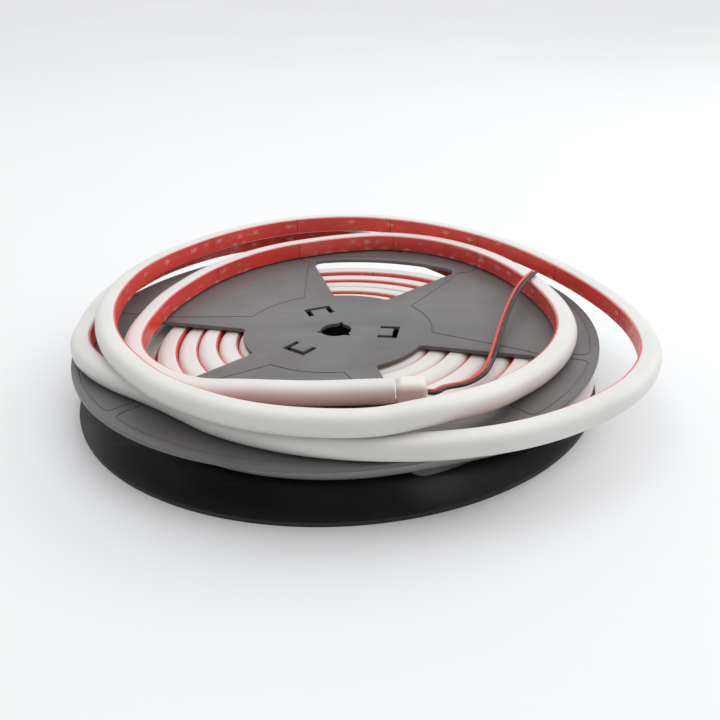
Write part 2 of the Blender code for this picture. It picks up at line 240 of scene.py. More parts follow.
def tube(name: str, points: list[Vector], radius: float, closed: bool = False,
         resolution: int = 2) -> Piece:
    """Return a curve of round section along points.

    Args:
        name: the tube's name.
        points: its middle line.
        radius: its radius.
        closed: whether its end joins its start.
        resolution: how finely its section is rounded.

    Returns:
        The tube, still a curve.
    """
    curve = bpy.data.curves.new(name, "CURVE")
    curve.dimensions = "3D"
    curve.bevel_depth = radius
    curve.bevel_resolution = resolution
    curve.use_fill_caps = not closed
    add_line(curve, points, closed)
    return link(name, curve)


def section_axes(route: list[Vector]) -> list[tuple[Vector, Vector]]:
    """Return the outward and upward directions of a section at each place of a route."""
    axes = []
    for i, place in enumerate(route):
        before = route[max(0, i - 1)].to_3d()
        after = route[min(len(route) - 1, i + 1)].to_3d()
        tangent = (after - before).normalized()
        outward = tangent.cross(Vector((0.0, 0.0, 1.0))).normalized()
        upward = outward.cross(tangent)
        turn = Matrix.Rotation(place.w, 3, tangent)
        axes.append((turn @ outward, turn @ upward))
    return axes


def sweep(name: str, route: list[Vector], section: list[tuple[float, float]]) -> Piece:
    """Return a closed mesh that carries a section along a route, with a UV map in metres.

    Args:
        name: the piece's name.
        route: places with their roll as the fourth number.
        section: corners, outwards first and then up, anticlockwise.

    Returns:
        The piece. Its UV map has the length along it in U and the way round it in V.
    """
    count = len(section)
    corners = []
    for place, (outward, upward) in zip(route, section_axes(route)):
        middle = place.to_3d()
        corners += [middle + outward * x + upward * y for x, y in section]
    along = [0.0]
    for a, b in zip(route, route[1:]):
        along.append(along[-1] + (b - a).to_3d().length)
    around = [0.0]
    for i in range(count):
        x0, y0 = section[i]
        x1, y1 = section[(i + 1) % count]
        around.append(around[-1] + hypot(x1 - x0, y1 - y0))
    faces = []
    places = []
    for ring in range(len(route) - 1):
        low, high = ring * count, (ring + 1) * count
        for i in range(count):
            j = (i + 1) % count
            faces.append((low + i, high + i, high + j, low + j))
            places += [(along[ring], around[i]), (along[ring + 1], around[i]),
                       (along[ring + 1], around[i + 1]), (along[ring], around[i + 1])]
    faces.append(tuple(range(count)))
    places += [(0.0, around[i]) for i in range(count)]
    last = (len(route) - 1) * count
    faces.append(tuple(last + i for i in reversed(range(count))))
    places += [(along[-1], around[i]) for i in reversed(range(count))]
    mesh = bpy.data.meshes.new(name)
    mesh.from_pydata([tuple(c) for c in corners], [], faces)
    layer = mesh.uv_layers.new(name="length")
    layer.data.foreach_set("uv", [value for pair in places for value in pair])
    piece = link(name, mesh)
    finish_smooth(piece, FLEX_SHARP)
    return piece


# Shader helpers

def fill(node: bpy.types.Node, values: dict[str, object]) -> None:
    """Set a node's own input values by the names of their sockets."""
    for name, value in values.items():
        node.inputs[name].default_value = value


class Recipe:
    """A material under construction, or the inside of a node group."""

    def __init__(self, tree: bpy.types.NodeTree) -> None:
        """Keep the tree that the nodes go to."""
        self.tree = tree

    def node(self, kind: str, **settings: object) -> bpy.types.Node:
        """Return a new node of a kind, with settings of its own."""
        made = self.tree.nodes.new(kind)
        for key, value in settings.items():
            setattr(made, key, value)
        return made

    def join(self, source: Socket, target: Socket) -> None:
        """Link two sockets."""
        self.tree.links.new(source, target)

    def noise(self, vector: Socket, scale: float, detail: float = 3.0,
              roughness: float = 0.5) -> Socket:
        """Return the value of a noise texture on a vector."""
        made = self.node("ShaderNodeTexNoise")
        fill(made, {"Scale": scale, "Detail": detail, "Roughness": roughness})
        self.join(vector, made.inputs["Vector"])
        return made.outputs["Fac"]

    def stretch(self, vector: Socket, scale: tuple[float, float, float]) -> Socket:
        """Return a vector that is scaled along each axis."""
        made = self.node("ShaderNodeMapping")
        fill(made, {"Scale": scale})
        self.join(vector, made.inputs["Vector"])
        return made.outputs["Vector"]

    def coordinates(self, kind: str) -> Socket:
        """Return the texture coordinates of a kind."""
        return self.node("ShaderNodeTexCoord").outputs[kind]

    def span(self, value: Socket, low: float, high: float, start: float = 0.0,
             end: float = 1.0) -> Socket:
        """Return a value moved smoothly from one range to another, held at its ends."""
        made = self.node("ShaderNodeMapRange", interpolation_type="SMOOTHSTEP")
        fill(made, {"From Min": low, "From Max": high, "To Min": start, "To Max": end})
        self.join(value, made.inputs["Value"])
        return made.outputs["Result"]

    def sum(self, operation: str, first: Socket, second: Socket | float) -> Socket:
        """Return the result of a Math node on a socket and a socket or number."""
        made = self.node("ShaderNodeMath", operation=operation)
        self.join(first, made.inputs[0])
        if isinstance(second, (int, float)):
            made.inputs[1].default_value = second
        else:
            self.join(second, made.inputs[1])
        return made.outputs[0]

    def add(self, height: Socket, value: Socket, weight: float) -> Socket:
        """Return a height with a weighted value added to it."""
        return self.sum("ADD", height, self.sum("MULTIPLY", value, weight))

    def specked(self, colour: Socket, scale: float, rarity: float, weight: float,
                dust: Colour) -> Socket:
        """Return a colour with scattered specks of dust on it.

        Args:
            colour: the colour below.
            scale: how closely the specks lie.
            rarity: how seldom one shows.
            weight: how strongly they show.
            dust: their colour.

        Returns:
            The specked colour.
        """
        specks = self.node("ShaderNodeGroup", node_tree=SpeckGroup.tree())
        self.join(self.coordinates("Object"), specks.inputs["Vector"])
        fill(specks, {"Scale": scale, "Rarity": rarity})
        return self.blend(self.sum("MULTIPLY", specks.outputs["Mask"], weight), colour, dust)

    def blend(self, share: Socket, first: object, second: object) -> Socket:
        """Return a mix of two colours, each a socket or a plain colour."""
        made = self.node("ShaderNodeMix", data_type="RGBA")
        self.join(share, made.inputs[0])
        for value, socket in ((first, made.inputs[6]), (second, made.inputs[7])):
            if isinstance(value, Socket):
                self.join(value, socket)
            else:
                socket.default_value = (*value, 1.0)
        return made.outputs[2]


def new_group(
        name: str, inputs: tuple[tuple[str, str, float], ...],
        outputs: tuple[tuple[str, str], ...]) -> tuple[Recipe, bpy.types.Node, bpy.types.Node]:
    """Return an empty node group with its sockets.

    Args:
        name: the group's name.
        inputs: name, socket type and first value of each input.
        outputs: name and socket type of each output.

    Returns:
        The group's recipe, its input node and its output node.
    """
    tree = bpy.data.node_groups.new(name, "ShaderNodeTree")
    for label, kind, value in inputs:
        socket = tree.interface.new_socket(label, in_out="INPUT", socket_type=kind)
        if kind == "NodeSocketFloat":
            socket.default_value = value
    for label, kind in outputs:
        tree.interface.new_socket(label, in_out="OUTPUT", socket_type=kind)
    recipe = Recipe(tree)
    return recipe, recipe.node("NodeGroupInput"), recipe.node("NodeGroupOutput")


class GrainGroup:
    """Fine moulded grain with broad cloudy changes, for plastics and silicones."""

    NAME = "moulded_grain"

    @classmethod
    def tree(cls) -> bpy.types.NodeTree:
        """Return the group, built on first use."""
        if cls.NAME in bpy.data.node_groups:
            return bpy.data.node_groups[cls.NAME]
        recipe, entry, leave = new_group(
            cls.NAME,
            (("Vector", "NodeSocketVector", 0.0), ("Fine", "NodeSocketFloat", 1500.0),
             ("Broad", "NodeSocketFloat", 30.0)),
            (("Height", "NodeSocketFloat"), ("Clouds", "NodeSocketFloat")))
        fine = recipe.node("ShaderNodeTexNoise")
        fill(fine, {"Detail": 3.0})
        broad = recipe.node("ShaderNodeTexNoise")
        fill(broad, {"Detail": 4.0})
        for texture, label in ((fine, "Fine"), (broad, "Broad")):
            recipe.join(entry.outputs["Vector"], texture.inputs["Vector"])
            recipe.join(entry.outputs[label], texture.inputs["Scale"])
        clouds = recipe.span(broad.outputs["Fac"], 0.3, 0.7)
        height = recipe.add(fine.outputs["Fac"], clouds, 0.25)
        recipe.join(height, leave.inputs["Height"])
        recipe.join(clouds, leave.inputs["Clouds"])
        return recipe.tree


class SpeckGroup:
    """Scattered specks of dust and small nicks, as a mask."""

    NAME = "dust_specks"

    @classmethod
    def tree(cls) -> bpy.types.NodeTree:
        """Return the group, built on first use."""
        if cls.NAME in bpy.data.node_groups:
            return bpy.data.node_groups[cls.NAME]
        recipe, entry, leave = new_group(
            cls.NAME,
            (("Vector", "NodeSocketVector", 0.0), ("Scale", "NodeSocketFloat", 90.0),
             ("Rarity", "NodeSocketFloat", 0.9)),
            (("Mask", "NodeSocketFloat"),))
        cells = recipe.node("ShaderNodeTexVoronoi")
        recipe.join(entry.outputs["Vector"], cells.inputs["Vector"])
        recipe.join(entry.outputs["Scale"], cells.inputs["Scale"])
        dot = recipe.span(cells.outputs["Distance"], 0.03, 0.09, 1.0, 0.0)
        chance = recipe.node("ShaderNodeSeparateColor")
        recipe.join(cells.outputs["Color"], chance.inputs["Color"])
        rare = recipe.sum("GREATER_THAN", chance.outputs["Red"], entry.outputs["Rarity"])
        recipe.join(recipe.sum("MULTIPLY", dot, rare), leave.inputs["Mask"])
        return recipe.tree


@dataclass(frozen=True)
class Finish:
    """What every finish shares: a Principled material with grain and specks.

    Attributes:
        name: the material's name.
        colour: its main colour.
        deep: the colour of its cloudy patches.
        roughness: its lowest roughness.
        uneven: how far the roughness rises over the patches.
        fine: scale of the fine grain.
        broad: scale of the patches.
        bump: height of the grain in metres.
    """

    name: str
    colour: Colour
    deep: Colour
    roughness: float = 0.4
    uneven: float = 0.1
    fine: float = 1500.0
    broad: float = 30.0
    bump: float = 0.00004

    def coat(self, shader: bpy.types.Node) -> None:
        """Set the shader's own plain sockets; a finish with more than grain overrides it."""

    def paint(self, recipe: Recipe, colour: Socket, height: Socket) -> tuple[Socket, Socket]:
        """Return the colour and height with the finish's own marks on them."""
        return colour, height

    def material(self) -> bpy.types.Material:
        """Return the material, built on first use."""
        if self.name in bpy.data.materials:
            return bpy.data.materials[self.name]
        made = bpy.data.materials.new(self.name)
        made.use_nodes = True
        recipe = Recipe(made.node_tree)
        shader = made.node_tree.nodes["Principled BSDF"]
        grain = recipe.node("ShaderNodeGroup", node_tree=GrainGroup.tree())
        recipe.join(recipe.coordinates("Object"), grain.inputs["Vector"])
        fill(grain, {"Fine": self.fine, "Broad": self.broad})
        clouds = grain.outputs["Clouds"]
        colour = recipe.blend(clouds, self.colour, self.deep)
        colour, height = self.paint(recipe, colour, grain.outputs["Height"])
        recipe.join(colour, shader.inputs["Base Color"])
        rough = recipe.span(clouds, 0.0, 1.0, self.roughness, self.roughness + self.uneven)
        recipe.join(rough, shader.inputs["Roughness"])
        bump = recipe.node("ShaderNodeBump")
        fill(bump, {"Strength": 1.0, "Distance": self.bump})
        recipe.join(height, bump.inputs["Height"])
        recipe.join(bump.outputs["Normal"], shader.inputs["Normal"])
        self.coat(shader)
        return made

    def dress(self, piece: Piece) -> None:
        """Give a piece this finish in its first material slot."""
        if piece.type == "MESH" and len(piece.data.materials) > 0:
            piece.material_slots[0].material = self.material()
            return
        piece.data.materials.append(self.material())


@dataclass(frozen=True)
class SiliconeFinish(Finish):
    """Milky silicone with light in its depth, dust specks and faint run lines.

    Attributes:
        glow: weight of the light that travels under the skin.
        depth: how far that light travels.
        rarity: how seldom a dust speck shows.
        speck_scale: how closely the specks lie.
        speck_weight: how strongly they show.
        dust: their colour.
        run_scale: stretch of the run lines along and round the piece.
        run_height: weight of the run lines in the grain's height.
        wave_scale: stretch of the soft waves.
        wave_height: their weight.
    """

    glow: float = 0.25
    depth: float = 2.5 * MM
    rarity: float = 0.93
    speck_scale: float = 80.0
    speck_weight: float = 0.55
    dust: Colour = (0.16, 0.12, 0.09)
    run_scale: tuple[float, float, float] = (9.0, 1400.0, 1.0)
    run_height: float = 0.9
    wave_scale: tuple[float, float, float] = (45.0, 90.0, 1.0)
    wave_height: float = 2.2

    def coat(self, shader: bpy.types.Node) -> None:
        """Set the light under the skin."""
        fill(shader, {"Subsurface Weight": self.glow, "Subsurface Radius": (1.0, 0.85, 0.7),
                      "Subsurface Scale": self.depth, "Specular IOR Level": 0.42})

    def paint(self, recipe: Recipe, colour: Socket, height: Socket) -> tuple[Socket, Socket]:
        """Return the colour with dust specks and the height with run lines along it."""
        dusty = recipe.specked(colour, self.speck_scale, self.rarity, self.speck_weight,
                               self.dust)
        lines = recipe.coordinates("UV")
        runs = recipe.noise(recipe.stretch(lines, self.run_scale), 1.0, 2.0)
        waves = recipe.noise(recipe.stretch(lines, self.wave_scale), 1.0, 2.0)
        raised = recipe.add(height, runs, self.run_height)
        return dusty, recipe.add(raised, waves, self.wave_height)


@dataclass(frozen=True)
class PlasticFinish(Finish):
    """Satin moulded plastic with fine streaks, scuffs and a little dust.

    Attributes:
        scuff: colour of the rubbed places.
        wear: how strongly they show.
        streak_scale: stretch of the rubbed streaks along each axis.
        streak_height: weight of the streaks in the grain's height.
        speck_scale: how closely the dust specks lie.
        speck_rarity: how seldom one shows.
        speck_weight: how strongly they show.
    """

    scuff: Colour = (0.5, 0.5, 0.5)
    wear: float = 0.1
    streak_scale: tuple[float, float, float] = (55.0, 420.0, 90.0)
    streak_height: float = 0.4
    speck_scale: float = 230.0
    speck_rarity: float = 0.9
    speck_weight: float = 0.3

    def coat(self, shader: bpy.types.Node) -> None:
        """Set a modest gloss."""
        fill(shader, {"Specular IOR Level": 0.5})

    def paint(self, recipe: Recipe, colour: Socket, height: Socket) -> tuple[Socket, Socket]:
        """Return the colour with rubbed streaks and dust, and the height with fine streaks."""
        stretched = recipe.stretch(recipe.coordinates("Object"), self.streak_scale)
        streaks = recipe.noise(stretched, 1.0, 4.0, 0.6)
        rubbed = recipe.span(streaks, 0.56, 0.78, 0.0, self.wear)
        worn = recipe.blend(rubbed, colour, self.scuff)
        dusty = recipe.specked(worn, self.speck_scale, self.speck_rarity, self.speck_weight,
                               self.scuff)
        return dusty, recipe.add(height, streaks, self.streak_height)


@dataclass(frozen=True)
class LinerFinish(Finish):
    """Red release liner: slightly glossy, with pale rub marks in groups and cross seams.

    Attributes:
        rub: colour of the pale marks.
        group: length of tape that one group of marks takes.
        seam: length between two cross seams.
        across: how closely the marks lie across the tape.
        jitter: how ragged a mark's edge is.
        mark_weight: how strongly the marks show.
        haze_scale: stretch of the rubbed haze.
        haze_weight: how strongly the haze shows.
        seam_share: shares of a length between which a seam fades out.
        seam_weight: how strongly a seam shows.
        seam_colour: its colour.
        relief_height: weight of the waves and of the seams in the grain's height.
    """

    rub: Colour = (0.86, 0.52, 0.48)
    group: float = 9 * MM
    seam: float = 61 * MM
    across: float = 210.0
    jitter: float = 0.18
    mark_weight: float = 0.5
    haze_scale: tuple[float, float, float] = (75.0, 260.0, 1.0)
    haze_weight: float = 0.42
    seam_share: tuple[float, float] = (0.006, 0.012)
    seam_weight: float = 0.75
    seam_colour: Colour = (0.1, 0.012, 0.01)
    relief_height: float = 3.0

    def coat(self, shader: bpy.types.Node) -> None:
        """Set the liner's gloss."""
        fill(shader, {"Specular IOR Level": 0.55, "Coat Weight": 0.25, "Coat Roughness": 0.22})

    def paint(self, recipe: Recipe, colour: Socket, height: Socket) -> tuple[Socket, Socket]:
        """Return the colour with rub marks and seams, and the height with the seams."""
        lines = recipe.coordinates("UV")
        cells = recipe.node("ShaderNodeTexVoronoi", voronoi_dimensions="2D")
        fill(cells, {"Scale": 1.0, "Randomness": 0.75})
        stretched = recipe.stretch(lines, (1 / self.group, self.across, 1.0))
        recipe.join(stretched, cells.inputs["Vector"])
        chance = recipe.node("ShaderNodeSeparateColor")
        recipe.join(cells.outputs["Color"], chance.inputs["Color"])
        some = recipe.span(chance.outputs["Green"], 0.6, 0.85)
        ragged = recipe.noise(recipe.stretch(lines, (900.0, 900.0, 1.0)), 1.0, 4.0, 0.65)
        reach = recipe.sum("ADD", cells.outputs["Distance"],
                           recipe.span(ragged, 0.3, 0.7, -self.jitter, self.jitter))
        blot = recipe.sum("MULTIPLY", recipe.span(reach, 0.1, 0.3, 1.0, 0.0), some)
        patches = recipe.noise(recipe.stretch(lines, self.haze_scale), 1.0, 5.0, 0.65)
        haze = recipe.span(patches, 0.56, 0.72)
        rubbed = recipe.sum("MAXIMUM", recipe.sum("MULTIPLY", blot, self.mark_weight),
                            recipe.sum("MULTIPLY", haze, self.haze_weight))
        marked = recipe.blend(rubbed, colour, self.rub)
        split = recipe.node("ShaderNodeSeparateXYZ")
        recipe.join(lines, split.inputs["Vector"])
        phase = recipe.sum("FRACT", recipe.sum("DIVIDE", split.outputs["X"], self.seam), 0.0)
        seam = recipe.span(phase, *self.seam_share, 1.0, 0.0)
        shown = recipe.sum("MULTIPLY", seam, self.seam_weight)
        seamed = recipe.blend(shown, marked, self.seam_colour)
        waves = recipe.noise(recipe.stretch(lines, (160.0, 90.0, 1.0)), 1.0, 2.0)
        raised = recipe.add(height, waves, self.relief_height)
        cut = recipe.sum("MULTIPLY", seam, self.relief_height)
        raised = recipe.sum("SUBTRACT", raised, cut)
        return seamed, raised


@dataclass(frozen=True)
class InsulationFinish(Finish):
    """Soft wire insulation with a fine grain."""

    def coat(self, shader: bpy.types.Node) -> None:
        """Set the insulation's gloss."""
        fill(shader, {"Specular IOR Level": 0.5, "Coat Weight": 0.15, "Coat Roughness": 0.3})


@dataclass(frozen=True)
class FloorFinish(Finish):
    """Plain pale floor."""


UPPER_PLASTIC = PlasticFinish("upper_flange_plastic", (0.140, 0.134, 0.131), (0.118, 0.112, 0.109),
                              0.36, 0.10, 1700.0, 22.0, 0.00004, (0.24, 0.24, 0.25), 0.2)
LOWER_PLASTIC = PlasticFinish("lower_flange_plastic", (0.012, 0.012, 0.013), (0.008, 0.008, 0.009),
                              0.42, 0.12, 1700.0, 26.0, 0.00004, (0.05, 0.05, 0.053), 0.25)
FLEX_SILICONE = SiliconeFinish("flex_silicone", (0.775, 0.765, 0.735), (0.735, 0.72, 0.68),
                               0.36, 0.12, 900.0, 26.0, 0.00003, 0.12, 2.0 * MM)
CAP_SILICONE = SiliconeFinish("cap_silicone", (0.86, 0.84, 0.785), (0.80, 0.775, 0.715),
                              0.34, 0.14, 700.0, 120.0, 0.00006, 0.4, 3.5 * MM, 0.97)
LINER = LinerFinish("tape_liner", (0.86, 0.055, 0.034), (0.74, 0.042, 0.026),
                    0.3, 0.12, 1200.0, 45.0, 0.00005)
RED_WIRE = InsulationFinish("wire_red", (0.72, 0.05, 0.03), (0.6, 0.04, 0.025),
                            0.32, 0.12, 2500.0, 200.0, 0.00003)
BLACK_WIRE = InsulationFinish("wire_black", (0.009, 0.009, 0.010), (0.006, 0.006, 0.007),
                              0.42, 0.14, 2500.0, 200.0, 0.00003)
PALE_FLOOR = FloorFinish("pale_floor", (0.9, 0.9, 0.9), (0.885, 0.885, 0.885),
                         0.55, 0.1, 400.0, 3.0, 0.00002)


def mount(piece: Piece, slot: Slot, *nodes: str) -> None:
    """Let a piece ride on the part, and stand for nodes where it names them."""
    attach(piece, BODY)
    if nodes:
        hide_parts(*nodes)
    LOG.info("%s: %d faces", piece.name,
             len(piece.data.polygons) if piece.type == "MESH" else len(piece.data.splines))


# The reel

@dataclass
class Reel:
    """The plastic reel: two slotted flanges with moulded panels, on a barrel.

    Attributes:
        site: where the reel stands.
        radius: of the flanges.
        thickness: of the flanges.
        edge: rounding of every flange edge.
        window_inner: radius of a window's inner arc.
        window_outer: radius of a window's outer arc.
        window_corner: rounding of a window's outer corners.
        window_azimuth: middle line of the first window, in degrees.
        window_lean: lean of a window's sides from that line, in degrees.
        window_half: half of the inner arc, in degrees.
        side_inner: radius past which a window's side is straight.
        side_outer: radius up to which it is straight.
        latch_azimuth: middle line of the first latch, in degrees.
        latch_radius: radius of a latch's middle.
        latch_length: of the U-shaped slit, across the radius.
        latch_width: of the slit, along the radius.
        latch_slit: width of the cut itself.
        spindle_radius: of the spindle hole.
        spindle_key: how far a key notch reaches past the hole.
        spindle_key_half: half of a notch, in degrees.
        groove: radius of the tool that cuts the panel lines.
        bead: radius of the raised edge beside a window.
        border: distance from a window to the panel line beside it.
        panel_inner: radius of a spoke panel's inner line.
        panel_outer: radius of its outer line.
        panel_knee: radius where its side turns outwards.
        panel_half: half of the panel past that knee, in degrees.
        panel_inner_half: half of its inner line, in degrees.
        panel_outer_half: half of its outer line's arc, in degrees.
        panel_lead: how far its side starts before the window's straight side.
        spoke_azimuth: middle line of the first spoke, in degrees.
        rim_azimuth: middle line of the window whose rim panel is cut first, in degrees.
        rim_inner: radius of a rim panel's inner line.
        rim_outer: radius of its outer line.
        rim_start: where it begins past the window's middle line, in degrees.
        rim_end: where it ends, in degrees.
        panel_corner: rounding of the panels' tight corners.
        panel_bend: rounding of their wide corners.
        bead_rise: how far the raised edge stands over the face.
        groove_rise: height of the groove tool's middle over the face.
    """

    site: Site
    radius: float = 125 * MM
    thickness: float = 2.0 * MM
    edge: float = 0.22 * MM
    window_inner: float = 45 * MM
    window_outer: float = 102 * MM
    window_corner: float = 6 * MM
    window_azimuth: float = 71.5
    window_lean: float = 30.0
    window_half: float = 19.0
    side_inner: float = 50 * MM
    side_outer: float = 99 * MM
    latch_azimuth: float = 108.0
    latch_radius: float = 26 * MM
    latch_length: float = 13.5 * MM
    latch_width: float = 9.5 * MM
    latch_slit: float = 2.7 * MM
    spindle_radius: float = 7.5 * MM
    spindle_key: float = 2.6 * MM
    spindle_key_half: float = 13.0
    groove: float = 0.5 * MM
    bead: float = 1.15 * MM
    border: float = 3.2 * MM
    panel_inner: float = 46.8 * MM
    panel_outer: float = 120.8 * MM
    panel_knee: float = 104.5 * MM
    panel_half: float = 31.6
    panel_inner_half: float = 24.0
    panel_outer_half: float = 27.0
    panel_lead: float = 8 * MM
    spoke_azimuth: float = 251.5
    rim_azimuth: float = 311.5
    rim_inner: float = 106.8 * MM
    rim_outer: float = 121.3 * MM
    rim_start: float = -2.0
    rim_end: float = 25.8
    panel_corner: float = 3 * MM
    panel_bend: float = 4 * MM
    bead_rise: float = 0.22 * MM
    groove_rise: float = 0.08 * MM

    @staticmethod
    def flat(radius: float, azimuth: float) -> Vector:
        """Return the plan place at a radius and an azimuth in degrees, from the axis."""
        return Vector((radius * cos(radians(azimuth)), radius * sin(radians(azimuth)), 0.0))

    @staticmethod
    def fillet(before: Vector, corner: Vector, after: Vector, radius: float,
               steps: int = 8) -> list[Vector]:
        """Return points of an arc at a corner that is tangent to both its sides."""
        side_in = (before - corner).normalized()
        side_out = (after - corner).normalized()
        half = side_in.angle(side_out) / 2
        middle = corner + (side_in + side_out).normalized() * (radius / sin(half))
        start = corner + side_in * (radius * cos(half) / sin(half)) - middle
        end = corner + side_out * (radius * cos(half) / sin(half)) - middle
        turn = start.angle(end)
        return [middle + (start * sin(turn * (1 - t)) + end * sin(turn * t)) / sin(turn)
                for t in (i / steps for i in range(steps + 1))]

    def window(self, azimuth: float) -> list[Vector]:
        """Return a window's outline about the axis, anticlockwise."""
        inner = self.flat(self.window_inner, self.window_half)
        lean = self.flat(1.0, self.window_lean)
        reach = inner.dot(lean)
        along = -reach + sqrt(reach ** 2 + self.window_outer ** 2 - self.window_inner ** 2)
        outer = inner + lean * along
        half = atan2(outer.y, outer.x) * 180 / pi
        points = [self.flat(self.window_inner, self.window_half * i / 10) for i in range(-8, 9)]
        points += self.fillet(points[-1], inner, outer, self.window_corner / 3)
        rim = [self.flat(self.window_outer, half * i / 20) for i in range(15, -16, -1)]
        points += self.fillet(inner, outer, rim[0], self.window_corner)
        points += rim
        mirrored = Vector((outer.x, -outer.y, 0.0))
        foot = Vector((inner.x, -inner.y, 0.0))
        points += self.fillet(rim[-1], mirrored, foot, self.window_corner)
        points += self.fillet(mirrored, foot, points[0], self.window_corner / 3)
        turn = Matrix.Rotation(radians(azimuth), 3, "Z")
        return [turn @ point for point in points]

    def latch(self, azimuth: float) -> list[Vector]:
        """Return the outline of the U-shaped slit that frees a latch tongue."""
        length, width, slit = self.latch_length / 2, self.latch_width / 2, self.latch_slit
        corners = ((-width, -length), (width, -length), (width, length), (-width, length),
                   (-width, length - slit), (width - slit, length - slit),
                   (width - slit, slit - length), (-width, slit - length))
        turn = Matrix.Rotation(radians(azimuth), 3, "Z")
        return [turn @ Vector((self.latch_radius + x, y, 0.0)) for x, y in corners]

    def spindle(self) -> list[Vector]:
        """Return the outline of the spindle hole with its three key notches."""
        points = []
        for key in range(3):
            start = 120 * key + self.window_azimuth
            points.append(self.flat(self.spindle_radius + self.spindle_key, start))
            first = start + self.spindle_key_half
            arc = 120 - 2 * self.spindle_key_half
            points += [self.flat(self.spindle_radius, first + arc * i / 12) for i in range(13)]
        return points

    def plate(self, name: str, bottom: float) -> Piece:
        """Return a flange with rounded edges.

        Args:
            name: the piece's name.
            bottom: height of its lower face.

        Returns:
            The flange, as a closed mesh in its place.
        """
        curve = bpy.data.curves.new(name, "CURVE")
        curve.dimensions = "2D"
        curve.fill_mode = "BOTH"
        curve.extrude = self.thickness / 2 - self.edge
        curve.bevel_depth = self.edge
        curve.bevel_resolution = 2
        curve.offset = -self.edge
        rim = [self.flat(self.radius, 360 * i / 240) for i in range(240)]
        holes = [self.spindle()]
        for third in range(3):
            holes.append(self.window(self.window_azimuth + 120 * third))
            holes.append(self.latch(self.latch_azimuth + 120 * third))
        for outline, hole in [(rim, False)] + [(outline, True) for outline in holes]:
            area = sum(a.x * b.y - b.x * a.y for a, b in zip(outline, outline[1:] + outline[:1]))
            ordered = outline if (area > 0) != hole else list(reversed(outline))
            add_line(curve, ordered, True)
        piece = link(name, curve)
        to_mesh(piece)
        piece.location = (self.site.x, self.site.y, bottom + self.thickness / 2)
        settle(piece)
        return piece

    def window_side(self, azimuth: float, sign: int) -> tuple[Vector, Vector, Vector, Vector]:
        """Return the straight side of a window.

        Args:
            azimuth: the window's middle line, in degrees.
            sign: 1 for the side anticlockwise of that line, -1 for the other.

        Returns:
            Its inner end, its outer end, its direction outwards and the way off the window.
        """
        axis = self.flat(1.0, azimuth)
        side = [p for p in self.window(azimuth)
                if self.side_inner < p.length < self.side_outer and axis.cross(p).z * sign > 0]
        near, far = min(side, key=lambda p: p.length), max(side, key=lambda p: p.length)
        along = (far - near).normalized()
        return near, far, along, Vector((-along.y, along.x, 0.0)) * sign

    def spoke_panel(self, middle: float) -> list[Vector]:
        """Return the closed line of the panel on a spoke, beside the windows and past them.

        Args:
            middle: the spoke's middle line, in degrees.

        Returns:
            The line's points about the axis, anticlockwise.
        """
        near, far, along, away = self.window_side(middle - 60, 1)
        start = near + away * self.border - along * self.panel_lead
        finish = far + away * self.border
        turn = Matrix.Rotation(radians(-middle), 3, "Z")
        mirror = Matrix.Rotation(radians(middle), 3, "Z")

        def flip(point: Vector) -> Vector:
            """Return a point mirrored in the spoke's middle line."""
            local = turn @ point
            return mirror @ Vector((local.x, -local.y, 0.0))

        inner = [self.flat(self.panel_inner, middle + self.panel_inner_half * i / 10)
                 for i in range(10, -11, -1)]
        outer = [self.flat(self.panel_outer, middle + self.panel_outer_half * i / 16)
                 for i in range(-16, 17)]
        knee = self.flat(self.panel_knee, middle - self.panel_half)
        shoulder = self.flat(self.panel_outer, middle - self.panel_half)
        half = self.fillet(inner[-1], start, finish, self.panel_corner)
        half += self.fillet(start, finish, knee, self.panel_bend)
        half += self.fillet(finish, knee, shoulder, self.panel_corner)
        half += self.fillet(knee, shoulder, outer[0], self.panel_bend)
        return inner[1:-1] + half + outer[1:-1] + [flip(p) for p in reversed(half)]

    def rim_panel(self, window: float) -> list[Vector]:
        """Return the closed outline of the small panel between a window and the rim."""
        first, last = window + self.rim_start, window + self.rim_end
        inner, outer = self.rim_inner, self.rim_outer
        corners = [self.flat(outer, first), self.flat(outer, last), self.flat(inner, last),
                   self.flat(inner, first)]
        arc_out = [self.flat(outer, first + (last - first) * i / 14) for i in range(2, 13)]
        arc_in = [self.flat(inner, last + (first - last) * i / 14) for i in range(2, 13)]
        points = self.fillet(corners[3], corners[0], arc_out[0], self.panel_corner) + arc_out
        points += self.fillet(arc_out[-1], corners[1], corners[2], self.panel_corner)
        points += self.fillet(corners[1], corners[2], arc_in[0], self.panel_corner) + arc_in
        points += self.fillet(arc_in[-1], corners[3], corners[0], self.panel_corner)
        return points

    def bead_lines(self, azimuth: float) -> list[list[Vector]]:
        """Return the middle lines of the raised edges along a window's two sides."""
        lines = []
        for sign in (1, -1):
            near, far, along, away = self.window_side(azimuth, sign)
            off = away * (self.bead + self.edge)
            lines.append([near + off - along * 2 * MM, (near + far) / 2 + off,
                          far + off + along * MM])
        return lines

    def relief(self, piece: Piece) -> None:
        """Raise an edge beside each window and cut the panel lines into the upper face."""
        for third in range(3):
            turn = 120 * third
            for line in self.bead_lines(self.window_azimuth + turn):
                places = [self.site.at(p.x, p.y, self.bead_rise - self.bead) for p in line]
                bead = tube("bead", places, self.bead)
                to_mesh(bead)
                combine(piece, bead, "UNION")
            for line in (self.spoke_panel(self.spoke_azimuth + turn),
                         self.rim_panel(self.rim_azimuth + turn)):
                places = [self.site.at(p.x, p.y, self.groove_rise) for p in line]
                groove = tube("groove", places, self.groove, True)
                to_mesh(groove)
                combine(piece, groove, "DIFFERENCE")

